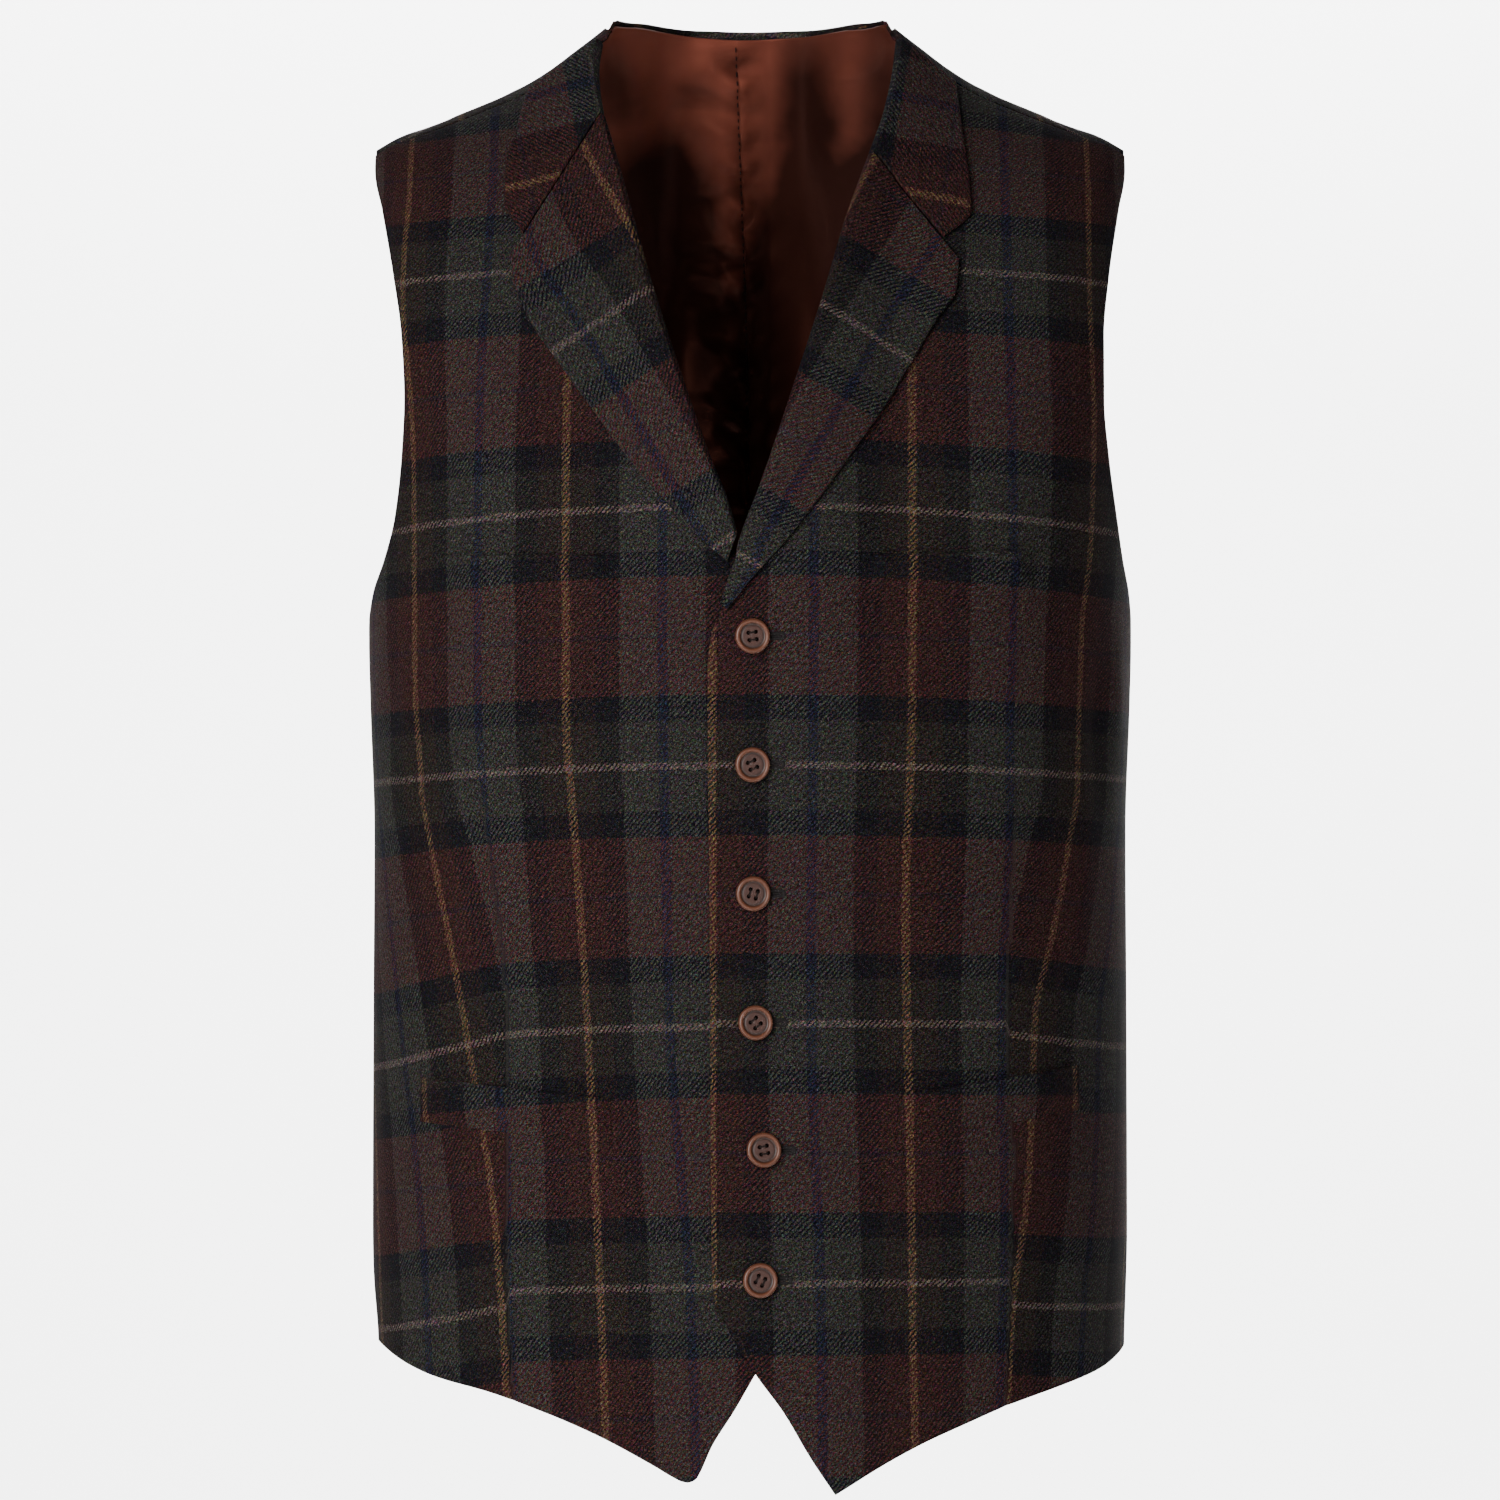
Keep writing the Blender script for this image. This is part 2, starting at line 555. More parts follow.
# finer folds than the solids have, uneven as in the photo and alike on the hidden sides
softFolds = [
    {"x": 92, "top": -150, "bottom": -330, "width": 16, "depth": 0.9, "lean": -14},
    {"x": 128, "top": -330, "bottom": -470, "width": 9, "depth": 0.8, "lean": 8},
    {"x": 148, "top": -300, "bottom": -400, "width": 5, "depth": -0.9, "lean": -6},
    {"x": 60, "top": -460, "bottom": -610, "width": 18, "depth": 1.0, "lean": 6},
    {"x": 132, "top": -455, "bottom": -600, "width": 9, "depth": 0.9, "lean": -5},
    {"x": 38, "top": -255, "bottom": -300, "width": 11, "depth": 0.5, "lean": 10},
    {"x": 36, "top": -310, "bottom": -352, "width": 10, "depth": 0.5, "lean": 7},
    {"x": 40, "top": -364, "bottom": -410, "width": 12, "depth": 0.45, "lean": 8},
    {"x": 36, "top": -418, "bottom": -468, "width": 11, "depth": 0.5, "lean": 9},
    {"x": -50, "top": -260, "bottom": -430, "width": 20, "depth": 0.8, "lean": -8},
    {"x": -96, "top": -160, "bottom": -310, "width": 14, "depth": 0.9, "lean": 12},
    {"x": -140, "top": -250, "bottom": -370, "width": 7, "depth": 1.0, "lean": -4},
    {"x": -126, "top": -360, "bottom": -460, "width": 9, "depth": 0.7, "lean": 6},
    {"x": -70, "top": -455, "bottom": -600, "width": 17, "depth": 1.0, "lean": -4},
    {"x": -134, "top": -455, "bottom": -570, "width": 10, "depth": 0.9, "lean": 6},
]
backFolds = [
    {"x": 118, "top": -300, "bottom": -440, "width": 12, "depth": 2.4},
    {"x": -112, "top": -310, "bottom": -450, "width": 12, "depth": 2.4},
    {"x": 58, "top": -340, "bottom": -430, "width": 11, "depth": 1.5},
    {"x": -62, "top": -335, "bottom": -425, "width": 11, "depth": 1.5},
]
softBackFolds = [
    {"x": 88, "top": -120, "bottom": -300, "width": 15, "depth": 1.1, "lean": 18},
    {"x": -84, "top": -130, "bottom": -310, "width": 16, "depth": 1.0, "lean": -20},
    {"x": 140, "top": -330, "bottom": -420, "width": 7, "depth": 1.2, "lean": -6},
    {"x": -138, "top": -340, "bottom": -440, "width": 7, "depth": 1.1, "lean": 5},
    {"x": 36, "top": -400, "bottom": -555, "width": 14, "depth": 1.0, "lean": 9},
    {"x": -42, "top": -390, "bottom": -555, "width": 15, "depth": 0.9, "lean": -7},
    {"x": 94, "top": -440, "bottom": -556, "width": 13, "depth": 1.2, "lean": 10},
    {"x": -100, "top": -430, "bottom": -556, "width": 12, "depth": 1.1, "lean": -8},
]

# Darts: where each one's line lies, by height
darts = {
    "right": [(-297, -116.8), (-420, -104.2), (-460, -105.0), (-502, -105.0), (-568, -102.3)],
    "left": [(-296, 115.9), (-408, 111.2), (-466, 114.2), (-571, 110.5)],
}
dartLine = {side: through(rows) for side, rows in darts.items()}
dartSet = {"top": -297, "fade": 14, "groove": 0.55, "width": 1.5, "pucker": 0.12, "pitch": 5.3}


# A dart's seam: a narrow groove with small puckers beside it, from its top down to the hem
def dartPush(side, x, z):
    away = x - dartLine[side](z)
    begun = ease((dartSet["top"] - z) / dartSet["fade"])
    groove = dartSet["groove"] * np.exp(-(away / dartSet["width"]) ** 2)
    pucker = dartSet["pucker"] * np.sin(z * 2 * np.pi / dartSet["pitch"]) * np.exp(-(away / 4) ** 2)
    return -begun * (groove + pucker)


def onFront(side, angle, level, above):
    place = formPoint(angle, level)
    x, z = place[..., 0], place[..., 2]
    lift = lapLift(x, z) if side == "left" else 0
    push = lift + foldPush(frontFolds + softFolds, x, z) + dartPush(side, x, z) + above
    return place + formNormal(angle, level) * push[..., None]


# A patch between four edges, each a pair of angle and level
def spread(edges, s, t):
    bottom, top, inner, outer = edges["bottom"], edges["top"], edges["inner"], edges["outer"]
    zero, one = np.zeros(1), np.ones(1)
    s2, t2 = s[None, :, None], t[:, None, None]
    low, high = bottom(s)[None], top(s)[None]
    near, far = inner(t)[:, None], outer(t)[:, None]
    return ((1 - t2) * low + t2 * high + (1 - s2) * near + s2 * far
            - (1 - s2) * (1 - t2) * bottom(zero)[None] - s2 * (1 - t2) * bottom(one)[None]
            - (1 - s2) * t2 * top(zero)[None] - s2 * t2 * top(one)[None])


# Shares along one side of a piece: even, with a few more close to both ends for the turned edge
def shares(count, length, near=(0.0, 0.12, 0.35, 0.7, 1.2, 2.2), power=1.0):
    ends = np.array(near) / length
    inside = 1 - (1 - np.linspace(0, 1, count)) ** power
    inside = inside[(inside > ends[-1] * 1.3) & (inside < 1 - ends[-1] * 1.3)]
    return np.concatenate([ends, inside, 1 - ends[::-1]])


# How full the cloth's thickness is: a half round where the cloth turns at its edges
def edgeRound(s, t, width, height, wall, sides=(1, 1, 1, 1)):
    left, right, bottom, top = sides
    far = 1e3
    s2, t2 = s[None, :] * width, t[:, None] * height
    away = np.minimum(np.minimum(s2 + far * (1 - left), width - s2 + far * (1 - right)),
                      np.minimum(t2 + far * (1 - bottom), height - t2 + far * (1 - top)))
    held = np.clip(1 - away / (wall * 0.55), 0, 1)
    return 0.2 + 0.8 * np.sqrt(1 - held ** 2)


seamGap = -0.08
walls = {"front": 2.0, "back": 1.4, "lining": 0.8, "lapel": 1.8, "welt": 1.5}
layerGap = 0.6

edgeRows = {
    "left": [(-607, 36.3), (-591, 25.8), (-571, 14.1), (-555, 2.4), (-537, -8.5), (-525, -14.6),
             (-510, -16.3), (-350, -17.3), (-258, -18.2), (-240, -16.6), (-224, -11.9), (-203, -6.0),
             (-184, 0.0), (-157, 10.7), (-124, 21.0), (-92, 31.4), (-46, 44.3), (-16, 56.4),
             (3, 61.1), (26, 65.3)],
    "right": [(-602, -26.8), (-601.4, -24.6), (-599.6, -22.4), (-596, -20.6), (-586, -16.2), (-571, -6.8), (-555, 2.4), (-537, 13.3),
              (-525, 19.4), (-510, 21.5), (-350, 22.0), (-258, 21.5), (-243, 17.5), (-218, 5.0),
              (-200, -3.8), (-178, -10.6), (-159, -18.5), (-139, -25.2), (-111, -34.7),
              (-80, -44.0), (-41, -54.8), (-14, -62.2), (2, -65.5), (26, -66.8)],
}
hemRows = {
    "left": [(36.3, -607), (57.8, -594.6), (75.4, -585.6), (93.2, -578.1), (111.1, -571.2),
             (135.7, -564.2), (154.7, -558.3), (166.0, -552.0)],
    "right": [(-26.8, -602), (-29.6, -601.4), (-34.0, -599.2), (-41.9, -594.6), (-65.5, -582.5), (-89.3, -573.1), (-113.3, -565.7),
              (-137.9, -560.8), (-150.4, -556.7), (-166.0, -549.0)],
}
underarm = -232
armholeRows = [
    (-232, 169.0, -169.0), (-219, 167.2, -166.0), (-206, 164.2, -160.7), (-187, 161.0, -155.3),
    (-160, 157.0, -152.0), (-136, 154.8, -150.8), (-108, 154.8, -152.3), (-82, 157.4, -156.2),
    (-50, 162.8, -162.4), (-25, 167.4, -167.6),
]
armholeAt = {"left": through([row[:2] for row in armholeRows]),
             "right": through([row[::2] for row in armholeRows])}
edgeAt = {side: through(rows) for side, rows in edgeRows.items()}
hemAt = {side: through(rows) for side, rows in hemRows.items()}
seamDrop = (6.0, 2.5)
foldOver = {"inset": 4.8, "full": -212, "none": -242}
vents = {"right": {"top": -498, "swing": 9.5, "tuck": 15}, "left": {"top": -498, "swing": 4.0, "tuck": 9}}
patchCorner = 0.6


def seamLevel(x, behind=False):
    drop = mix(*seamDrop, outwardShare(x))
    return ridgeHeight(x, behind) + (drop if behind else -drop) - seamGap / 2


def pair(angle, level):
    return np.stack(np.broadcast_arrays(angle, level), -1)


# Edges that meet in a corner are given the same corner
def fitted(edge, start, end):
    def at(u):
        u2 = u[:, None]
        first, last = edge(np.zeros(1)), edge(np.ones(1))
        return edge(u) + (1 - u2) * (start - first) + u2 * (end - last)
    return at


def frontEdges(side):
    sign = 1 if side == "left" else -1
    pointZ = edgeRows[side][0][0]
    hemSide = float(hemAt[side](sign * 166))
    neckX, tipX = sign * (66.5 + foldOver["inset"]), sign * 166.2
    neckZ, tipZ = float(seamLevel(neckX)), float(seamLevel(tipX))
    vent = vents[side]

    def inner(t):
        z = np.where(t < patchCorner, mix(pointZ, -240, t / patchCorner),
                     mix(-240, neckZ, (t - patchCorner) / (1 - patchCorner)))
        inset = foldOver["inset"] * ease((z - foldOver["none"]) / (foldOver["full"] - foldOver["none"]))
        x = mix(edgeAt[side](z) + sign * inset, neckX, ease((t - 0.93) / 0.07))
        return pair(angleAt(x, z), z)

    def outer(t):
        low = mix(hemSide, underarm, t / patchCorner)
        high = mix(underarm, tipZ, (t - patchCorner) / (1 - patchCorner))
        z = np.where(t <= patchCorner, low, high)
        swing = np.radians(vent["swing"]) * ease((vent["top"] - z) / (vent["top"] - hemSide))
        sideAngle = np.pi / 2 - swing - seamGap / 2 / frontDepth(z)
        x = mix(armholeAt[side](z), tipX, ease((t - 0.95) / 0.05))
        armAngle = np.minimum(np.abs(angleAt(x, z)), np.pi / 2 - seamGap / 2 / frontDepth(z))
        return pair(sign * np.where(t <= patchCorner, sideAngle, armAngle), z)

    ends = [inner(np.zeros(1)), outer(np.zeros(1)), inner(np.ones(1)), outer(np.ones(1))]

    def bottom(s):
        angle = mix(ends[0][0, 0], ends[1][0, 0], s)
        x = sign * breadthAt(-560) * np.sin(np.abs(angle)) ** bend
        return pair(angle, hemAt[side](x))

    def top(s):
        angle = mix(ends[2][0, 0], ends[3][0, 0], s)
        x = sign * breadthAt(0) * np.sin(np.abs(angle)) ** bend
        return pair(angle, seamLevel(x))

    return {"inner": inner, "outer": outer, "bottom": fitted(bottom, ends[0], ends[1]),
            "top": fitted(top, ends[2], ends[3])}


# Where the check lies on the fronts. Each warp thread named here is followed down the photo, in
# the photo's own pixels: its place in the repeat (mm), then its (height, side) points.
pixel = {"middle": 750, "level": 750, "scale": 0.4277, "rise": -288.6}


def fromPhoto(rows):
    return through([((pixel["level"] - down) * pixel["scale"] + pixel["rise"],
                     (side - pixel["middle"]) * pixel["scale"]) for down, side in rows])


half = check["warpRepeat"] / 2
warpLines = {
    "right": [
        (-4 * half, fromPhoto([(180, 400), (270, 395), (450, 408), (700, 410), (770, 414)])),
        (-3 * half, fromPhoto([(180, 487), (450, 476), (700, 475), (770, 479), (945, 493), (1027, 501),
                               (1149, 505), (1245, 505), (1400, 511)])),
        (-2 * half, fromPhoto([(180, 572), (450, 565), (700, 565), (850, 575), (1080, 590), (1300, 600),
                               (1420, 605)])),
        (-1 * half, fromPhoto([(450, 662), (600, 662), (1000, 668), (1300, 690), (1450, 695)])),
    ],
    "left": [
        (0 * half, fromPhoto([(560, 712), (700, 712), (1340, 712)])),
        (1 * half, fromPhoto([(560, 812), (700, 812), (1000, 810), (1300, 820), (1440, 822)])),
        (2 * half, fromPhoto([(270, 912), (700, 912), (900, 905), (1150, 910), (1440, 915)])),
        (3 * half, fromPhoto([(200, 1010), (633, 1015), (715, 1012), (821, 1012), (917, 1008), (1000, 1003),
                              (1200, 1006), (1400, 1001)])),
        (4 * half, fromPhoto([(187, 1097), (267, 1096), (420, 1100), (545, 1096), (633, 1086), (770, 1084)])),
    ],
}
sideLine = {
    "right": (-4 * half, fromPhoto([(700, 410), (770, 414), (820, 420), (940, 445), (1080, 470), (1130, 480),
                                    (1250, 495), (1400, 505)])),
    "left": (4 * half, fromPhoto([(700, 1083), (770, 1084), (862, 1071), (945, 1055), (1021, 1038),
                                  (1120, 1034), (1178, 1031), (1244, 1024), (1299, 1015), (1400, 1009)])),
}
# The light weft lines by front: their heights at the middle, how far they droop towards the side,
# how far they are let down at the dart, and how much more over the 55 mm beyond it
weftRows = {
    "right": {
        "line": [(1548, -111), (1287, 0), (1027, 111), (766, 222), (507, 333), (270, 439), (205, 468)],
        "droop": [(1548, 20), (1287, 20), (1220, 18), (1100, 30), (1027, 26), (768, 17), (508, 22), (270, 6),
                  (100, 0)],
        "jump": [(1548, 19), (1355, 19), (1287, 15), (1220, 20), (1130, 12), (1090, 3), (1027, 0), (800, 0)],
        "slope": [(1548, 17), (1287, 18), (1220, 8), (1130, 12), (1027, 18), (800, 0)],
    },
    "left": {
        "line": [(1548, -111), (1283, 0), (1024, 111), (765, 222), (507, 333), (270, 439), (205, 468)],
        "droop": [(1548, 10), (1287, 6), (1100, 8), (1027, 6), (768, 15), (508, 22), (270, 6), (100, 0)],
        "jump": [(1548, 22), (1352, 22), (1280, 24), (1214, 21), (1100, 14), (1022, 9), (950, 0), (800, 0)],
        "slope": [(1548, 10), (1240, 10), (1120, 6), (1022, 16), (800, 0)],
    },
}


def heightOf(down):
    return (pixel["level"] - down) * pixel["scale"] + pixel["rise"]


weftCurve = {side: {kind: through([(heightOf(down), value * (1 if kind == "line" else pixel["scale"]))
                                   for down, value in rows]) for kind, rows in tables.items()}
             for side, tables in weftRows.items()}

# The length round a section from its middle out to x: chords of the section's oval, added up
ovalTurn = np.linspace(0, np.pi / 2, 400)
ovalX, ovalY = np.sin(ovalTurn) ** bend, 0.683 * np.cos(ovalTurn) ** bend
ovalRound = np.r_[0, np.cumsum(np.hypot(np.diff(ovalX), np.diff(ovalY)))]


def roundFrom(x, z):
    across = breadthAt(z)
    return np.sign(x) * across * np.interp(np.abs(x) / across, ovalX, ovalRound)


# The warp coordinate: in step between the threads that are followed, and evenly beyond them.
def frontWarp(side, x, z):
    lines = sorted(((roundFrom(line(z), z), place) for place, line in warpLines[side]),
                   key=lambda item: item[1])
    here = roundFrom(x, z)
    first, last = lines[0], lines[-1]
    u = np.where(here < first[0], first[1] + here - first[0], last[1] + here - last[0])
    for (start, startPlace), (end, endPlace) in zip(lines, lines[1:]):
        between = (here >= start) & (here < end)
        u = np.where(between, startPlace + (here - start) / (end - start) * (endPlace - startPlace), u)
    place, line = sideLine[side]
    beyond = place + here - roundFrom(line(z), z)
    sign = 1 if side == "left" else -1
    outside = (sign * (x - dartLine[side](z)) > 0) & (z < dartSet["top"])
    begun = ease((dartSet["top"] - z) / 30)
    return np.where(outside, mix(u, beyond, begun), u)


def frontWeft(side, x, z, darted=True):
    curve = weftCurve[side]
    drop = curve["droop"](z) * np.clip(np.abs(x) / 160, 0, 1.1) ** 2.2
    beyond = np.abs(x) - np.abs(dartLine[side](z))
    if darted:
        drop = drop + np.where(beyond > 0, curve["jump"](z) + curve["slope"](z) * beyond / 55, 0)
    return curve["line"](z + drop)


# On a grid, the weft coordinate above the chest is the cloth's own length, as it leans back there
def weftUpward(side, points, start=-170, darted=True):
    x, z = points[..., 0], points[..., 2]
    known = frontWeft(side, x, z, darted)
    step = np.hypot(np.diff(points[..., 1], axis=0), np.diff(z, axis=0))
    grown = np.where(z[:-1] < start, np.diff(known, axis=0), step)
    return np.concatenate([known[:1], known[:1] + np.cumsum(grown, 0)])


sheets = {}


# Rides, replaces, takes its slot and is declared as a cut sheet, all in one place
def finishCloth(piece, node):
    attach(piece, "root")
    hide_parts(node)
    sheets[piece.name] = piece


frontSet = {"columns": 128, "rows": 262, "facing": 62.0, "cut": {"right": (0.275, 0.66, 0.121),
                                                                "left": (0.285, 0.67, 0.126)}}


def makeFront(side):
    edges = frontEdges(side)
    wall = walls["front"]
    s = shares(frontSet["columns"], 200.0)
    t = shares(frontSet["rows"], 620.0, power=1.15)
    place = spread(edges, s, t)
    angle, level = place[..., 0], place[..., 1]
    full = edgeRound(s, t, 200.0, 620.0, wall)
    outer = onFront(side, angle, level, -wall / 2 + full * wall / 2)
    inner = onFront(side, angle, level, -wall / 2 - full * wall / 2)
    middle = formPoint(angle, level)
    uv = np.stack([frontWarp(side, middle[..., 0], middle[..., 2]), weftUpward(side, middle)], -1)
    # inside, the facing of tweed runs along the front edge and the rest is lined
    fromEdge = np.abs(roundFrom(middle[..., 0], middle[..., 2])
                      - roundFrom(middle[:, :1, 0], middle[:, :1, 2]))
    lined = (fromEdge > frontSet["facing"]).astype(float)
    name = "front" + side.capitalize()
    piece = clothWall(name, outer, inner, uv, [tweed, satin], lined)
    finishCloth(piece, f"front_{side}")


backNeckRows = [(0, 36.8), (14, 36.8), (33, 36.5), (46, 36.6), (56, 35.8), (60, 36.0), (62, 37.0)]
backHem = {"centre": -556, "side": -551}
backNeckAt = through(backNeckRows)
clothInset = {"hem": 0, "neck": 0, "arm": 0, "seam": 0, "side": 0, "centre": -0.06, "tuck": 1}
liningInset = {"hem": 8, "neck": 2.7, "arm": 2, "seam": 3, "side": 1.5, "centre": -0.06, "tuck": 0}
# the lining's seam wanders to the right of the middle near the neck: its x by height
liningSeamAt = through([(-260, 0.0), (-110, -0.6), (-60, -2.4), (-20, -4.2), (12, -5.8), (36, -6.4)])
neckShare = 5 / 12


def backEdges(side, inset):
    sign = 1 if side == "left" else -1
    vent = vents[side]
    centreGap = inset["centre"] / 150
    tipX = sign * (form["tipHalf"] - inset["arm"])
    hemZ = backHem["side"] + inset["hem"]

    def behindAngle(x, z):
        return sign * np.pi - angleAt(x, z)

    def topOver(x):
        return seamLevel(x, True) - inset["seam"]

    def inner(t):
        low, high = backHem["centre"] + inset["hem"], backNeckAt(0) - inset["neck"]
        level = mix(low, high, t)
        seamX = (1 - inset["tuck"]) * liningSeamAt(level)
        return pair(sign * (np.pi - centreGap) - angleAt(seamX, level), level)

    def outer(t):
        low = mix(hemZ, underarm - inset["arm"], t / patchCorner)
        share = (t - patchCorner) / (1 - patchCorner)
        high = mix(underarm - inset["arm"], float(topOver(tipX)), share)
        level = np.where(t <= patchCorner, low, high)
        tuck = np.radians(inset["tuck"] * vent["tuck"]) * ease((vent["top"] - low) / (vent["top"] - hemZ))
        seam = (seamGap / 2 + inset["side"]) / backDepth(np.minimum(level, 0))
        z = np.minimum(level, float(ridgeHeight(tipX, True)))
        hold = 2.5 * np.sin(np.pi * np.clip(share, 0, 1)) + inset["arm"]
        x = mix(armholeAt[side](z) - sign * hold, tipX, ease((t - 0.95) / 0.05))
        armAngle = np.maximum(np.abs(behindAngle(x, z)), np.pi / 2 + seam)
        angle = np.where(t <= patchCorner, np.pi / 2 - tuck + seam, armAngle)
        return pair(sign * angle, level)

    ends = [inner(np.zeros(1)), outer(np.zeros(1)), inner(np.ones(1)), outer(np.ones(1))]

    def bottom(s):
        return pair(mix(ends[0][0, 0], ends[1][0, 0], s), mix(ends[0][0, 1], ends[1][0, 1], ease(s)))

    def top(s):
        neckX = mix(-0.06, form["neckHalf"], np.clip(s / neckShare, 0, 1))
        neckZ = backNeckAt(neckX) - inset["neck"] * (1 - 0.45 * ease(neckX / 50))
        along = np.clip((s - neckShare) / (1 - neckShare), 0, 1)
        x = mix(form["neckHalf"] + 1.5, np.abs(tipX), along)
        shoulder = topOver(x) - 0.25 * inset["neck"] * (1 - ease(along * 6))
        angle = np.where(s < neckShare, behindAngle(sign * neckX, 0), behindAngle(sign * x, 0))
        return pair(angle, np.where(s < neckShare, neckZ, shoulder))

    return {"inner": inner, "outer": outer, "bottom": bottom, "top": fitted(top, ends[2], ends[3])}


# Below the vents the back passes under the fronts, so it lies deeper there
def backPush(side, angle, level):
    below = ease((vents[side]["top"] + 36 - level) / 24)
    aside = ease((97 - np.degrees(np.abs(angle))) / 5.5)
    return -(walls["front"] + layerGap) * below * aside


# The lining hangs in its own soft folds: a few long ones by hand, and puckers along its seam
liningFolds = [
    {"x": -14, "top": 60, "bottom": -165, "width": 7, "depth": -3.4, "lean": 6},
    {"x": -37, "top": 44, "bottom": -200, "width": 11, "depth": 2.5, "lean": 10},
    {"x": -58, "top": 54, "bottom": -34, "width": 8, "depth": -2.2, "lean": 3},
    {"x": 22, "top": 62, "bottom": -46, "width": 12, "depth": 3.0, "lean": 2},
    {"x": 50, "top": 56, "bottom": -38, "width": 11, "depth": -2.8, "lean": -10},
    {"x": 30, "top": -20, "bottom": -200, "width": 13, "depth": 2.2, "lean": -8},
    {"x": 5, "top": -40, "bottom": -130, "width": 6, "depth": -1.2, "lean": -2},
    {"x": -86, "top": -60, "bottom": -400, "width": 16, "depth": 2.0, "lean": 20},
    {"x": 84, "top": -70, "bottom": -420, "width": 17, "depth": 2.0, "lean": -18},
    {"x": -120, "top": -250, "bottom": -500, "width": 12, "depth": 1.4, "lean": 6},
    {"x": 122, "top": -240, "bottom": -480, "width": 12, "depth": 1.4, "lean": -8},
]
liningGap = (0.35, 3.65)
puckers = {"height": 1.7, "pitch": 15.0, "slant": 0.7, "reach": 12.0}


def liningPush(side, x, z):
    sign = 1 if side == "left" else -1
    away = np.abs(x - liningSeamAt(z))
    phase = 2 * np.pi * (z - puckers["slant"] * away) / puckers["pitch"]
    waves = np.sin(phase + 1.9 * np.sin(z / 17.0)) * np.exp(-(away / puckers["reach"]) ** 2)
    waves = waves * (0.35 + 0.65 * np.sin(z / 29.0) ** 2)
    deep = np.exp(-(away / 1.6) ** 2)
    strength = puckers["height"] * (1.0 if sign < 0 else 0.45)
    return foldPush(liningFolds, x, z) + strength * waves - 0.5 * deep


# How far in the lining lies: close to the back where it is sewn along the top, free below it
def liningDepth(side, x, z, below):
    free = ease(below / 18)
    return -walls["back"] - mix(*liningGap, free) - free * liningPush(side, x, z)


backSet = {"columns": 104, "rows": 190, "eased": 11.0,
           "cut": {"back": (0.235, 0.66, 0.118), "lining": (0.23, 0.65, 0.112)}}


def makeBack(side, kind):
    lining = kind == "lining"
    inset = liningInset if lining else clothInset
    wall = walls[kind]
    edges = backEdges(side, inset)
    s = shares(backSet["columns"], 230.0)
    t = shares(backSet["rows"], 600.0, power=1.5)
    place = spread(edges, s, t)
    angle, level = place[..., 0], place[..., 1]
    middle = formPoint(angle, level)
    x, z = middle[..., 0], middle[..., 2]
    full = edgeRound(s, t, 230.0, 600.0, wall)
    push = foldPush(backFolds, x, z) + backPush(side, angle, level)
    if lining:
        push = push + liningDepth(side, x, z, (1 - t[:, None]) * 560)
    else:
        push = push + foldPush(softBackFolds, x, z)
    normal = formNormal(angle, level)
    outer = middle + normal * (push - wall / 2 + full * wall / 2)[..., None]
    inner = middle + normal * (push - wall / 2 - full * wall / 2)[..., None]
    sign = 1 if side == "left" else -1
    away = np.abs(roundFrom(np.abs(x), z))
    weft = weftUpward("right", middle, -300, False) - backSet["eased"] * ease((z + 300) / 330)
    uv = np.stack([sign * (away + 33.0), weft], -1)
    name = ("lining" if lining else "back") + side.capitalize()
    node = f"back_lining_{side}" if lining else f"back_{side}"
    piece = clothWall(name, outer, inner, uv, [satin if lining else tweed])
    finishCloth(piece, node)


for side in ("right", "left"):
    makeFront(side)
    makeBack(side, "back")
    makeBack(side, "lining")
print("fronts, back and lining made")

# Lapels and collars: a strip that starts under the neck edge, rolls over it and lies on the front.
# Each row: share of its length, the roll line's x and z, and its outer edge's x and z
strips = {
    "lapelLeft": [(0.0, -12.6, -226, -9.4, -228.3), (0.1, -8.3, -213, 1.6, -214.5),
                  (0.2, -4.6, -199, 14.5, -200), (0.35, 4.7, -173.6, 34.1, -174.3),
                  (0.55, 17.6, -135, 61.8, -134.5), (0.75, 31.4, -92, 81.0, -102.5),
                  (0.88, 41.0, -59, 89.0, -90.5), (1.0, 51.6, -29, 90.2, -77)],
    "lapelRight": [(0.0, -5.2, -196, -9.6, -208.4), (0.15, -9.6, -181, -22.0, -197.4),
                   (0.35, -17.2, -162, -47.0, -169.5), (0.6, -30.0, -125, -77.0, -129.5),
                   (0.8, -43.0, -84, -97.0, -99.5), (0.92, -54.8, -41, -102.6, -84),
                   (1.0, -63.6, -10.5, -103.5, -74.6)],
    "collarLeft": [(0.0, 51.8, -28.4, 83.6, -66.9), (0.13, 54.5, -21, 95.9, -55.5),
                   (0.3, 58.2, -10, 95.6, -44), (0.65, 62.3, 8.5, 92.8, -20), (1.0, 64.6, 25.4, 90.1, 5.5)],
    "collarRight": [(0.0, -63.9, -9.8, -98.4, -65.2), (0.13, -64.9, -4, -106.6, -51.5),
                    (0.3, -65.8, 2, -106.6, -37), (0.65, -66.5, 13, -102.0, -16),
                    (1.0, -65.2, 25.0, -97.3, 2.8)],
}
# the roll: how far each step lies from the roll line and above the front, outside and inside
rollSteps = np.array([
    (2.2, -2.6, 3.3, -1.2), (0.6, -1.5, 2.2, -0.5), (0.0, 0.5, 1.9, 0.9), (0.9, 2.5, 2.4, 1.6),
    (3.0, 3.7, 3.9, 2.0)])
flatSteps = np.array([0.3, 0.62, 1.0])
flatTail = {"full": -200, "none": -214}
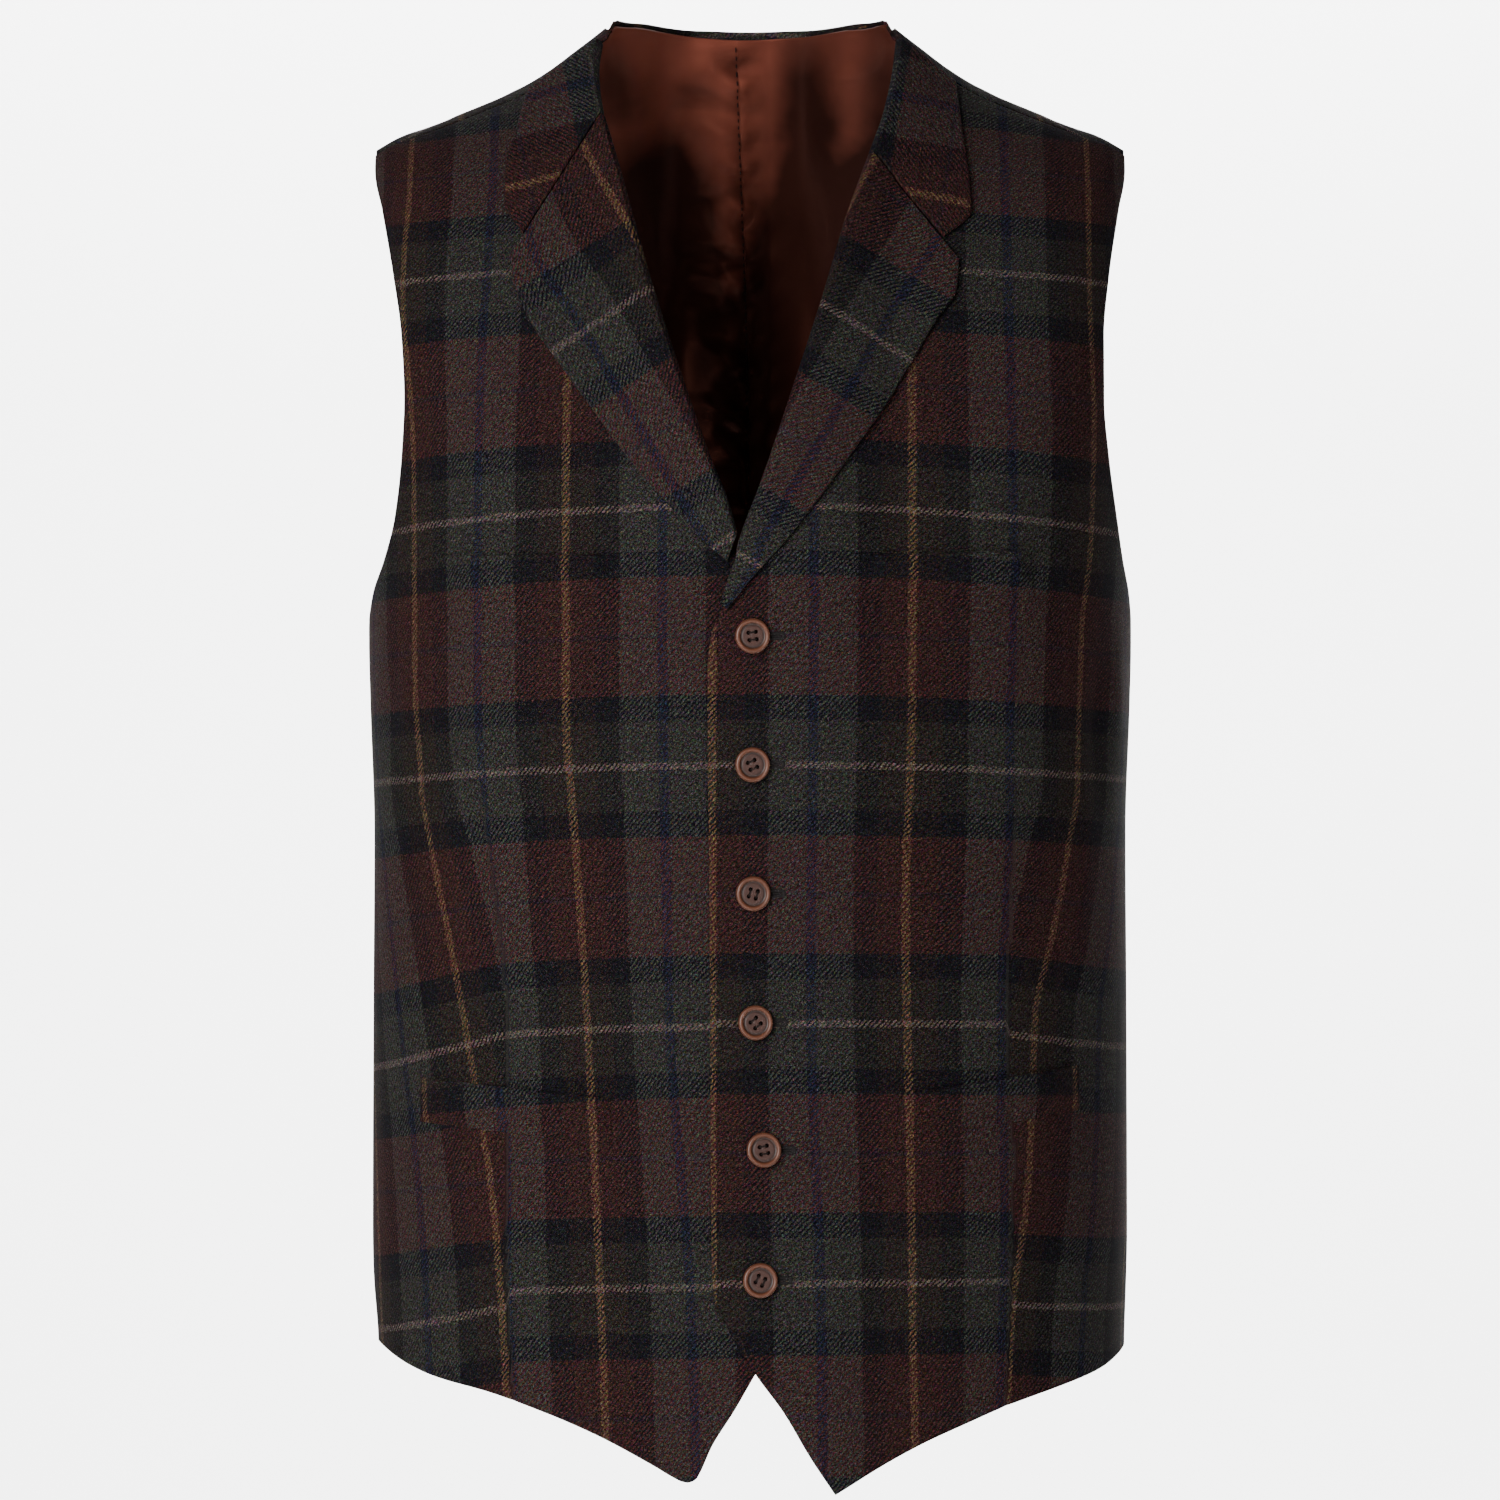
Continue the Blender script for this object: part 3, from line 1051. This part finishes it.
# how the check lies on each strip: the turn of its weft (degrees, rising to +X), and a point
# of the photo with the warp and weft coordinates there
grain = {
    "lapelRight": {"turn": 31.0, "pixel": (600, 318), "u": -114.1, "v": 444.0},
    "lapelLeft": {"turn": -30.0, "pixel": (868, 330), "u": 34.2, "v": 444.0},
    "collarRight": {"turn": -80.0, "pixel": (560, 176), "u": 168.6, "v": 406.6},
    "collarLeft": {"turn": 80.0, "pixel": (915, 190), "u": 168.6, "v": 403.2},
}


# Catmull-Rom curves through the columns of a table, read at any share between them
def throughColumns(table, at):
    padded = np.concatenate([2 * table[:, :1] - table[:, 1:2], table,
                             2 * table[:, -1:] - table[:, -2:-1]], 1)
    i = np.clip(np.floor(at).astype(int), 0, table.shape[1] - 2)
    u = at - i
    a, b, c, d = (padded[:, i + k] for k in range(4))
    return b + 0.5 * u * (c - a + u * (2 * a - 5 * b + 4 * c - d + u * (3 * (b - c) + d - a)))


def makeStrip(name):
    side = "left" if name.endswith("Left") else "right"
    kind = name[:-len(side)].lower()
    wall = walls["lapel"]
    rows = np.array(strips[name])
    rollX, rollZ, outX, outZ = (through(rows[:, (0, k)]) for k in range(1, 5))
    length = float(np.abs(np.diff(rows[:, 1:3], axis=0)).sum())
    t = shares(96 if kind == "lapel" else 44, length)
    at = shares(58, 60.0) * 7
    start = np.stack([rollX(t), rollZ(t)], -1)
    end = np.stack([outX(t), outZ(t)], -1)
    breadth = np.linalg.norm(end - start, axis=1)[:, None]
    rolled = ease((start[:, 1:] - flatTail["none"]) / (flatTail["full"] - flatTail["none"]))
    fit = np.clip(breadth / 16, 0, 1)
    lying = layerGap + 0.25
    faces = []
    for inside in (False, True):
        step = rollSteps[:, 2:] if inside else rollSteps[:, :2]
        flatAbove = lying + (0 if inside else wall)
        flat = np.arange(5) / 5 * 4 * fit
        across = mix(flat, step[:, 0] * mix(fit, 1, rolled), rolled)
        above = mix(flatAbove, step[:, 1] + 0 * fit, rolled)
        outward = mix(mix(3.2 * fit, 4.5, rolled), breadth, flatSteps)
        raised = flatAbove + (1.0 if inside else 1.4) * rolled * (1 - flatSteps) ** 1.5
        faces.append((throughColumns(np.concatenate([across, outward], 1), at),
                      throughColumns(np.concatenate([above, raised], 1), at)))
    full = edgeRound(at / 7, t, 60.0, length, wall)
    middles = [0.5 * (faces[0][k] + faces[1][k]) for k in (0, 1)]
    surfaces = []
    for across, above in faces:
        across = mix(middles[0], across, full)
        above = mix(middles[1], above, full)
        x = start[:, :1] + (end - start)[:, :1] * across / breadth
        z = start[:, 1:] + (end - start)[:, 1:] * across / breadth
        surfaces.append(onFront(side, angleAt(x, z), z, above))
    outer, inner = surfaces
    # cloth coordinates: the strip is laid flat beyond its roll line, then turned by its grain
    step = np.linalg.norm(np.diff(outer, axis=1), axis=2)
    flatLength = np.concatenate([0 * t[:, None], np.cumsum(step, 1)], 1)
    flatLength = flatLength - flatLength[:, 18:19]
    spot = start[:, None] + ((end - start) / breadth)[:, None] * flatLength[..., None]
    lie = grain[name]
    origin = np.array([(lie["pixel"][0] - pixel["middle"]) * pixel["scale"],
                       (pixel["level"] - lie["pixel"][1]) * pixel["scale"] + pixel["rise"]])
    turned = np.radians(lie["turn"])
    away = spot - origin
    u = lie["u"] + away[..., 0] * np.cos(turned) + away[..., 1] * np.sin(turned)
    v = lie["v"] - away[..., 0] * np.sin(turned) + away[..., 1] * np.cos(turned)
    piece = clothWall(name, outer, inner, np.stack([u, v], -1), [tweed])
    finishCloth(piece, f"{kind}_{side}")


for name in strips:
    makeStrip(name)
print("lapels and collars made")

# Pocket welts lie on the fronts, cut to match the check beneath them
weltRows = {
    "chestWeltRight": ("chest_welt_right", -58.5, -133, -205.5, -204.5, 20, 0.0, 0.1),
    "chestWeltLeft": ("chest_welt_left", 50.5, 122, -205.5, -202.5, 20, 0.0, 0.1),
    "pocketWeltRight": ("pocket_welt_right", -59.5, -143, -437.5, -430.5, 19.5, 0.3, 0.3),
    "pocketWeltLeft": ("pocket_welt_left", 64.5, 143, -436, -425.5, 19.5, 0.3, 0.3),
}
weltGap = (0.1, 0.8)


def makeWelt(name):
    node, innerX, outerX, innerTop, outerTop, height, shift, thin = weltRows[name]
    side = "left" if node.endswith("left") else "right"
    wall = walls["welt"]
    length = abs(outerX - innerX)
    s, t = shares(70, length), shares(22, height)
    x = mix(innerX, outerX, s)[None, :] + 0 * t[:, None]
    z = mix(innerTop, outerTop, s)[None, :] - height * (1 - t[:, None])
    full = edgeRound(s, t, length, height, wall)
    # the sewn lower edge and ends are drawn down to the front, the top edge stands free
    sewn = np.minimum(np.minimum(s, 1 - s)[None, :] * length / 0.6, t[:, None] * height)
    free = ease(sewn / 13.0)
    thick = wall * mix(thin, 1, free)
    angle = angleAt(x, z)
    middle = mix(*weltGap, free) + thick / 2
    outer = onFront(side, angle, z, middle + full * thick / 2)
    inner = onFront(side, angle, z, middle - full * thick / 2)
    if node.startswith("pocket"):
        # the lower welts bridge the dart, so their check runs on evenly from the nearer yellow line
        place, line = warpLines[side][2]
        u = place + roundFrom(x, z) - roundFrom(line(z), z)
    else:
        u = frontWarp(side, x, z)
    v = frontWeft(side, x, z, False)
    uv = np.stack([u + shift * np.sign(x), v + shift], -1)
    piece = clothWall(name, outer, inner, uv, [tweed])
    finishCloth(piece, node)


for name in weltRows:
    makeWelt(name)
print("welts made")


# Buttons: a turned profile of (radius, height) in mm, with four holes and the thread that holds it
button = {
    "places": [(0.8, -239.9, 8), (0.8, -294.7, 22), (1.1, -349.8, 74), (2.1, -405.2, 40), (5.6, -459.5, 12),
               (4.1, -514.9, 63)],
    "profile": [(0.02, 0), (5.6, 0), (6.4, 0.1), (7.1, 0.5), (7.45, 1.1), (7.5, 1.8), (7.4, 2.4),
                (7.1, 2.8), (6.6, 3.0), (6.1, 2.95), (5.75, 2.7), (5.5, 2.35), (5.2, 2.05),
                (4.85, 1.95), (4.5, 2.1), (4.0, 2.2), (3.2, 2.12), (2.4, 2.02), (1.4, 1.95), (0.02, 1.92)],
    "sides": 64, "hole": 0.92, "apart": 1.6, "holeSides": 18, "stand": 1.3, "lean": (10.0, 3.0),
}


def turnedMesh(name, profile, sides):
    around = np.linspace(0, 2 * np.pi, sides, endpoint=False)
    radius, height = np.array(profile, float).T
    points = np.stack([radius[:, None] * np.cos(around), radius[:, None] * np.sin(around),
                       height[:, None] + 0 * around], -1)
    count = len(profile)
    quads = gridFaces(count, sides, closed=True)
    return makeMesh(name, points.reshape(-1, 3), quads)


# A rod along z with flat ends, to drill with
def rod(name, x, y, radius, low, high, sides):
    return turnedMesh(name, [(0.001, low), (radius, low), (radius, high), (0.001, high)], sides), (x, y)


def closeEnds(item):
    import bmesh
    shape = bmesh.new()
    shape.from_mesh(item.data)
    bmesh.ops.remove_doubles(shape, verts=shape.verts, dist=0.00006)
    bmesh.ops.recalc_face_normals(shape, faces=shape.faces)
    shape.to_mesh(item.data)
    shape.free()


def drilledButton():
    blank = turnedMesh("blank", button["profile"], button["sides"])
    closeEnds(blank)
    cutters = []
    for a, b in ((1, 1), (1, -1), (-1, 1), (-1, -1)):
        drill, (x, y) = rod("drill", a * button["apart"], b * button["apart"], button["hole"], -2, 6,
                            button["holeSides"])
        closeEnds(drill)
        drill.location = (x * 0.001, y * 0.001, 0)
        cut = blank.modifiers.new("drill", "BOOLEAN")
        cut.operation = "DIFFERENCE"
        cut.object = drill
        cutters.append(drill)
    bpy.context.view_layer.update()
    drilled = blank.evaluated_get(bpy.context.evaluated_depsgraph_get()).to_mesh()
    points = np.empty(len(drilled.vertices) * 3)
    drilled.vertices.foreach_get("co", points)
    points = points.reshape(-1, 3) * 1000
    drilled.calc_loop_triangles()
    faces = np.empty(len(drilled.loop_triangles) * 3, np.int32)
    drilled.loop_triangles.foreach_get("vertices", faces)
    for item in (*cutters, blank):
        bpy.data.objects.remove(item)
    return points, faces.reshape(-1, 3)


# A thread along a path of points: rings square to the path, closed at both ends by shrinking them
def tube(path, radius, sides=8):
    path = np.asarray(path, float)
    ahead = np.gradient(path, axis=0)
    ahead /= np.linalg.norm(ahead, axis=1, keepdims=True)
    aside = np.cross(ahead, (0.31, 0.94, 0.14))
    aside /= np.linalg.norm(aside, axis=1, keepdims=True)
    third = np.cross(ahead, aside)
    around = np.linspace(0, 2 * np.pi, sides, endpoint=False)
    size = np.full(len(path), radius)
    size[[0, -1]] = radius * 0.3
    ring = np.cos(around)[None, :, None] * aside[:, None] + np.sin(around)[None, :, None] * third[:, None]
    points = path[:, None] + size[:, None, None] * ring
    return points.reshape(-1, 3), gridFaces(len(path), sides, closed=True)


def joinTubes(name, tubes, finish):
    points, quads, start = [], [], 0
    for tubePoints, tubeQuads in tubes:
        points.append(tubePoints)
        quads.append(tubeQuads + start)
        start += len(tubePoints)
    piece = makeMesh(name, np.concatenate(points), np.concatenate(quads), None, [finish])
    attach(piece, "root")
    return piece


# The frame of a place on the left front: its point, and unit directions aside, up and outward
def seatOn(x, z, above):
    angle, level = angleAt(np.array([x]), z), np.array([float(z)])
    point = onFront("left", angle, level, np.array([above]))[0]
    out = formNormal(angle, level)[0]
    aside = np.cross((0, 0, 1.0), out)
    aside = -aside / np.linalg.norm(aside) * np.sign(-aside[0])
    aside = aside * np.sign(aside[0])
    return point, np.stack([aside, np.cross(out, aside) * np.sign(np.cross(out, aside)[2]), out])


def makeButtons():
    points, faces = drilledButton()
    for number, (x, z, twist) in enumerate(button["places"], 1):
        seat, axes = seatOn(x, z, button["stand"])
        turned = np.radians(twist)
        spin = np.array([[np.cos(turned), np.sin(turned), 0], [-np.sin(turned), np.cos(turned), 0],
                         [0, 0, 1]])
        aside, upward = np.radians(button["lean"])
        lean = np.array([[np.cos(aside), 0, -np.sin(aside)], [0, 1, 0], [np.sin(aside), 0, np.cos(aside)]])
        spin = spin @ lean @ np.array([[1, 0, 0], [0, np.cos(upward), -np.sin(upward)],
                                       [0, np.sin(upward), np.cos(upward)]])
        placed = points @ spin @ axes + seat
        away = np.hypot(points[:, 0], points[:, 1])
        uv = np.stack([away, points[:, 2]], -1)
        corner = placed[faces]
        volume = (np.cross(corner[:, 0], corner[:, 1]) * corner[:, 2]).sum()
        piece = makeMesh(f"button{number}", placed, faces if volume > 0 else faces[:, ::-1], uv, [horn])
        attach(piece, "root")
        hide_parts(f"button_{number}")
        # two strands over the dish, down through the holes, and the wound shank behind
        apart = button["apart"]
        strands = []
        for row in (-1, 1):
            for nudge in (-0.2, 0.2):
                share = np.linspace(0, 1, 17)
                along = np.clip((share - 0.5) * 2.6, -1, 1) * apart
                rise = np.where(np.abs(share - 0.5) * 2.6 > 1, -1, 1)
                height = 2.2 - 3.2 * ease((np.abs(share - 0.5) - 0.36) / 0.14) - 0.1 * (along / apart) ** 4
                path = np.stack([along, row * apart + nudge + 0 * along, height], -1)
                strands.append(tube(path @ spin @ axes + seat, 0.15))
        wound = np.linspace(0, 1, 80)
        coil = np.stack([1.15 * np.cos(wound * 32), 1.15 * np.sin(wound * 32), 0.15 - 2.0 * wound], -1)
        strands.append(tube(coil @ axes + seat, 0.3))
        joinTubes(f"buttonThread{number}", strands, hornThread)


hole = {"before": 1.0, "beyond": 12.4, "stitch": 1.5, "pitch": 0.5, "radius": 0.27, "lift": 0.3}


# Buttonholes: close whipped stitches along both sides of a slit and round its inner end
def makeButtonholes():
    for number, (x, z, _) in enumerate(button["places"], 1):
        firstX, lastX = x - hole["before"], x + hole["beyond"]
        along = np.arange(firstX, lastX, hole["pitch"])
        rows = [(px, z + side * 0.42, 0.0, side) for side in (-1, 1) for px in along]
        fan = np.radians(np.linspace(-80, 80, 9))
        rows += [(lastX + 0.42 * np.cos(f), z + 0.42 * np.sin(f), np.cos(f), np.sin(f)) for f in fan]
        tubes = []
        for px, pz, goX, goZ in rows:
            share = np.array([0.0, 0.15, 0.4, 0.7, 1.0])
            length = hole["stitch"] * (1 + 0.06 * np.sin(px * 9.1 + pz))
            ax, az = px + goX * length * share, pz + goZ * length * share
            above = hole["lift"] * np.array([0.2, 0.9, 1.0, 0.8, -0.5])
            tubes.append(tube(onFront("left", angleAt(ax, az), az, above), hole["radius"], 6))
        slit = np.linspace(firstX, lastX, 24)
        level = np.full(24, float(z))
        tubes.append(tube(onFront("left", angleAt(slit, level), level, np.full(24, -0.05)), 0.34, 6))
        joinTubes(f"buttonhole{number}", tubes, darkThread)


makeButtons()
makeButtonholes()
print("buttons and buttonholes made")

# Loose stitches down the lining's seam
seam = {"top": 30.0, "bottom": -330.0, "pitch": 3.3, "length": 2.0, "side": 0.9}


def makeSeamStitches():
    heights = np.arange(seam["bottom"], seam["top"], seam["pitch"])
    tubes = []
    for height in heights:
        z = height + seam["length"] * np.linspace(0, 1, 5)
        x = liningSeamAt(z) - seam["side"]
        angle = -np.pi - angleAt(x, z)
        middle = formPoint(angle, z)
        push = (foldPush(backFolds, x, z) + liningDepth("right", x, z, backNeckRows[0][1] - z)
                - walls["lining"] - 0.15 * np.sin(np.linspace(0, np.pi, 5)))
        tubes.append(tube(middle + formNormal(angle, z) * push[:, None], 0.3, 6))
    joinTubes("liningStitches", tubes, seamThread)


makeSeamStitches()
print("seam stitches made")
